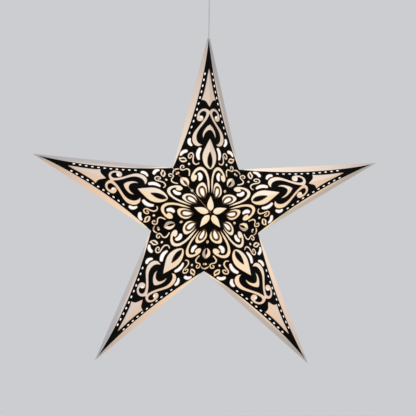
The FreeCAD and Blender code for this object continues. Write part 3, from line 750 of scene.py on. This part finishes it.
# Turns of a rolled thread, as height over the surface
def thread_height(tree, place):
    split = tree.nodes.new("ShaderNodeSeparateXYZ")
    tree.links.new(place, split.inputs[0])
    turns = math_node(tree, "MULTIPLY", split.outputs["Z"], 2 * math.pi / THREAD_PITCH)
    return split.outputs["Z"], math_node(tree, "SINE", turns)


def opal_bulb():
    material, tree, shader = new_material("lit_opal_glass", (0.80, 0.79, 0.76), 0.22)
    place = object_place(tree)
    height, turns = thread_height(tree, place)
    on_base = math_node(tree, "GREATER_THAN", height, BASE_FOOT)
    cloud = noise(tree, place, 60)
    opal = mix_colour(tree, cloud, (0.78, 0.77, 0.73), (0.84, 0.83, 0.80))
    tone = mix_colour(tree, on_base, opal, (0.66, 0.66, 0.65))
    tree.links.new(tone, shader.inputs["Base Color"])
    tree.links.new(on_base, shader.inputs["Metallic"])
    # Brightest round the globe's middle, dimmer in the neck, dark on the metal
    dimming = multiply_add(tree, height, 28, 12.04, clamp=True)
    lit = mix_colour(tree, cloud, (0.92, 0.80, 0.60), (0.97, 0.88, 0.70))
    neck = mix_colour(tree, dimming, lit, (0.50, 0.36, 0.22))
    glow = mix_colour(tree, on_base, neck, (0.0, 0.0, 0.0))
    tree.links.new(glow, shader.inputs["Emission Color"])
    shader.inputs["Emission Strength"].default_value = 1
    bump(tree, shader, math_node(tree, "MULTIPLY", turns, on_base), 1.0, 0.0006)
    return material


paint("led_bulb", opal_bulb())

# Screw shell and centre contact
# Sheet-brass shell with a rolled thread, and the flat brass contact between the
# foot of the bulb and the insulating core.
def plating_group():
    group, start, end = new_group(
        "handled_metal",
        [
            ("Place", "Vector"),
            ("Bright Tone", "Color"),
            ("Dull Tone", "Color"),
            ("Middle Roughness", "Float"),
        ],
        [("Colour", "Color"), ("Roughness", "Float"), ("Height", "Float")],
    )
    # Dull clouds where it was handled, and fine scratches from tumbling
    cloud = noise(group, start.outputs["Place"], 160, detail=5)
    drawn_out = group.nodes.new("ShaderNodeMapping")
    drawn_out.inputs["Scale"].default_value = (2200, 2200, 260)
    group.links.new(start.outputs["Place"], drawn_out.inputs["Vector"])
    scratch = noise(group, drawn_out.outputs["Vector"], 1)
    colour = mix_colour(group, cloud, start.outputs["Bright Tone"], start.outputs["Dull Tone"])
    uneven = multiply_add(group, cloud, 0.3, -0.15)
    roughness = math_node(group, "ADD", start.outputs["Middle Roughness"], uneven, clamp=True)
    group.links.new(colour, end.inputs["Colour"])
    group.links.new(roughness, end.inputs["Roughness"])
    group.links.new(scratch, end.inputs["Height"])
    return group


HANDLED = plating_group()


def metal(name, bright, dull, roughness, threaded=False):
    material, tree, shader = new_material(name, bright, roughness)
    shader.inputs["Metallic"].default_value = 1
    place = object_place(tree)
    skin = tree.nodes.new("ShaderNodeGroup")
    skin.node_tree = HANDLED
    tree.links.new(place, skin.inputs["Place"])
    skin.inputs["Bright Tone"].default_value = (*bright, 1)
    skin.inputs["Dull Tone"].default_value = (*dull, 1)
    skin.inputs["Middle Roughness"].default_value = roughness
    tree.links.new(skin.outputs["Colour"], shader.inputs["Base Color"])
    tree.links.new(skin.outputs["Roughness"], shader.inputs["Roughness"])
    raised = skin.outputs["Height"]
    if threaded:
        raised = math_node(tree, "ADD", thread_height(tree, place)[1], raised)
    strength, distance = (0.9, 0.0004) if threaded else (0.2, 0.0001)
    bump(tree, shader, raised, strength, distance)
    return material


BRASS_BRIGHT = (0.72, 0.52, 0.22)
BRASS_DULL = (0.52, 0.37, 0.17)
BRASS = metal("brass", BRASS_BRIGHT, BRASS_DULL, 0.32)
paint("screw_shell", metal("rolled_brass", BRASS_BRIGHT, BRASS_DULL, 0.30, threaded=True))
paint("centre_contact", BRASS)

# Insulating core and its terminal screws
# Cream ceramic-filled moulding that carries the contacts; two zinc-plated
# screws clamp the cord's wires in it.
CREAM_CORE = moulded_plastic("cream_core", (0.66, 0.63, 0.54), (0.58, 0.55, 0.47), 0.62, texture=0.35)
paint("holder_core", CREAM_CORE)
ZINC_SCREW = metal("zinc_screw", (0.62, 0.62, 0.61), (0.44, 0.45, 0.47), 0.36)
paint("terminal_screws_holder", ZINC_SCREW)

# Holder sleeve and cap
# Glossy white moulded sleeve over core and shell, and the cone screwed on top
# of it.
GLOSS_PLASTIC = moulded_plastic("holder_plastic", (0.80, 0.80, 0.79), (0.76, 0.76, 0.74), 0.20, texture=0.05)
paint("holder_sleeve", GLOSS_PLASTIC)
paint("holder_cap", GLOSS_PLASTIC)

# Cord grip
# Bush of natural nylon pressed into the top of the cap, its flange outside; it
# grips the cord, so that no pull reaches the terminals.
NYLON = moulded_plastic("natural_nylon", (0.66, 0.67, 0.63), (0.56, 0.57, 0.54), 0.48)
paint("cord_grip", NYLON)

# Cord
# Thin pale two-core cord that carries the lantern and feeds its lamp; it hangs
# taut from the terminal block in the ceiling cup down to the lamp holder.
CORD_RADIUS = 0.0012
CORD_TOP = -0.0086
CORD_FOOT = -0.3708


def cord_material():
    material, tree, shader = new_material("cord_sleeve", (0.58, 0.58, 0.60), 0.55)
    stretch = tree.nodes.new("ShaderNodeMapping")
    stretch.inputs["Scale"].default_value = (900, 900, 160)
    tree.links.new(object_place(tree), stretch.inputs["Vector"])
    grain = noise(tree, stretch.outputs["Vector"], 1)
    tone = mix_colour(tree, grain, (0.48, 0.48, 0.51), (0.68, 0.68, 0.69))
    tree.links.new(tone, shader.inputs["Base Color"])
    return material


def hanging_cord():
    curve = bpy.data.curves.new("hanging_cord", "CURVE")
    curve.dimensions = "3D"
    curve.bevel_depth = CORD_RADIUS
    curve.bevel_resolution = 4
    curve.use_fill_caps = True
    spline = curve.splines.new("NURBS")
    route = [CORD_FOOT, (CORD_FOOT + CORD_TOP) / 2, CORD_TOP]
    spline.points.add(len(route) - 1)
    for knot, height in zip(spline.points, route):
        knot.co = (0, 0, height, 1)
    spline.order_u = 3
    spline.use_endpoint_u = True
    curve.materials.append(cord_material())
    piece = bpy.data.objects.new("hanging_cord_visual", curve)
    bpy.context.scene.collection.objects.link(piece)
    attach(piece, "root")
    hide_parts("hanging_cord")


hanging_cord()

# Ceiling bracket
# Strip of zinc-plated steel screwed to the ceiling, a cheek bent down at each
# end for the screws of the cup.
paint("bracket", metal("zinc_plate", (0.60, 0.61, 0.62), (0.42, 0.43, 0.46), 0.42))

# Ceiling cup, its bush and nut
# Thin moulded cone over the bracket; the cord leaves it through a bush held by
# a nut inside.
for part in ("ceiling_cup", "cord_bush", "bush_nut"):
    paint(part, WHITE_PLASTIC)

# Screws of the cup
# Two zinc-plated pan-head screws, one on each side, driven through the cup's
# wall into the cheeks; they hold the cup up.
paint("cup_screws", ZINC_SCREW)

# Terminal block and its screws
# Natural nylon block under the bracket, into which the cord's end runs; two
# brass screws in it clamp the wires.
paint("terminal_block", NYLON)
paint("terminal_screws_ceiling", BRASS)

# Floor and light
# Plain pale floor well below the hanging star, a surround of the same tone and
# two large soft lamps in front.
FLOOR_DROP = -3.4
FLOOR_REACH = 30
PALE = (0.60, 0.61, 0.63)


# 1 for what the camera sees, straight, mirrored or through glass, else 0
def seen_directly(tree):
    path = tree.nodes.new("ShaderNodeLightPath")
    mirrored_too = math_node(tree, "MAXIMUM", path.outputs["Is Camera Ray"], path.outputs["Is Glossy Ray"])
    return math_node(tree, "MAXIMUM", mirrored_too, path.outputs["Is Transmission Ray"])


def floor():
    mesh = bmesh.new()
    bmesh.ops.create_grid(mesh, x_segments=1, y_segments=1, size=FLOOR_REACH)
    bmesh.ops.translate(mesh, verts=mesh.verts, vec=(0, 0, FLOOR_DROP))
    material, tree, shader = new_material("pale_floor", (0.90, 0.90, 0.90), 0.9)
    # The floor is as pale as the surround to the camera
    shader.inputs["Emission Color"].default_value = (0.085, 0.070, 0.068, 1)
    tree.links.new(seen_directly(tree), shader.inputs["Emission Strength"])
    object_from("floor", mesh, material)


floor()


def surround():
    world = bpy.data.worlds.new("surround")
    world.use_nodes = True
    tree = world.node_tree
    seen = tree.nodes["Background"]
    seen.inputs["Color"].default_value = (*PALE, 1)
    seen.inputs["Strength"].default_value = 1
    light = tree.nodes.new("ShaderNodeBackground")
    light.inputs["Color"].default_value = (0.92, 0.96, 1.0, 1)
    light.inputs["Strength"].default_value = 0.62
    mix = tree.nodes.new("ShaderNodeMixShader")
    tree.links.new(seen_directly(tree), mix.inputs[0])
    tree.links.new(light.outputs[0], mix.inputs[1])
    tree.links.new(seen.outputs[0], mix.inputs[2])
    tree.links.new(mix.outputs[0], tree.nodes["World Output"].inputs["Surface"])
    bpy.context.scene.world = world


surround()


def soft_lamp(name, place, size, power):
    lamp = bpy.data.lights.new(name, "AREA")
    lamp.size = size
    lamp.energy = power
    holder = bpy.data.objects.new(name, lamp)
    bpy.context.scene.collection.objects.link(holder)
    holder.location = place
    aim = STAR_CENTRE - Vector(place)
    holder.rotation_euler = aim.to_track_quat("-Z", "Y").to_euler()


soft_lamp("key_light", (-1.6, -1.8, 1.4), 1.6, 26)
soft_lamp("fill_light", (2.0, -2.0, 0.2), 2.0, 8)

# Camera
# At the photographer's place, three metres in front and a little to one side,
# turned slightly about its own axis.
CAMERA_DISTANCE = 3.0
LENS = 149.64
STAR_PITCH = math.radians(-1.82)
STAR_YAW = math.radians(6.46)
STAR_ROLL = math.radians(-1.37)
STAR_OFFSET = Vector((-0.0052, -0.0112, 0))


def place_camera():
    seen = Matrix.Rotation(STAR_ROLL, 3, "Z")
    seen = seen @ Matrix.Rotation(STAR_YAW, 3, "Y") @ Matrix.Rotation(STAR_PITCH, 3, "X")
    upright = Matrix(((1, 0, 0), (0, 0, -1), (0, 1, 0)))
    axes = upright @ seen.transposed()
    stand = axes @ (Vector((0, 0, CAMERA_DISTANCE)) - STAR_OFFSET) + STAR_CENTRE
    camera = bpy.data.cameras.new("camera")
    camera.lens = LENS
    camera.sensor_width = 36
    holder = bpy.data.objects.new("camera", camera)
    bpy.context.scene.collection.objects.link(holder)
    holder.matrix_world = Matrix.Translation(stand) @ axes.to_4x4()
    bpy.context.scene.camera = holder


place_camera()
bpy.context.scene.view_settings.view_transform = "Standard"
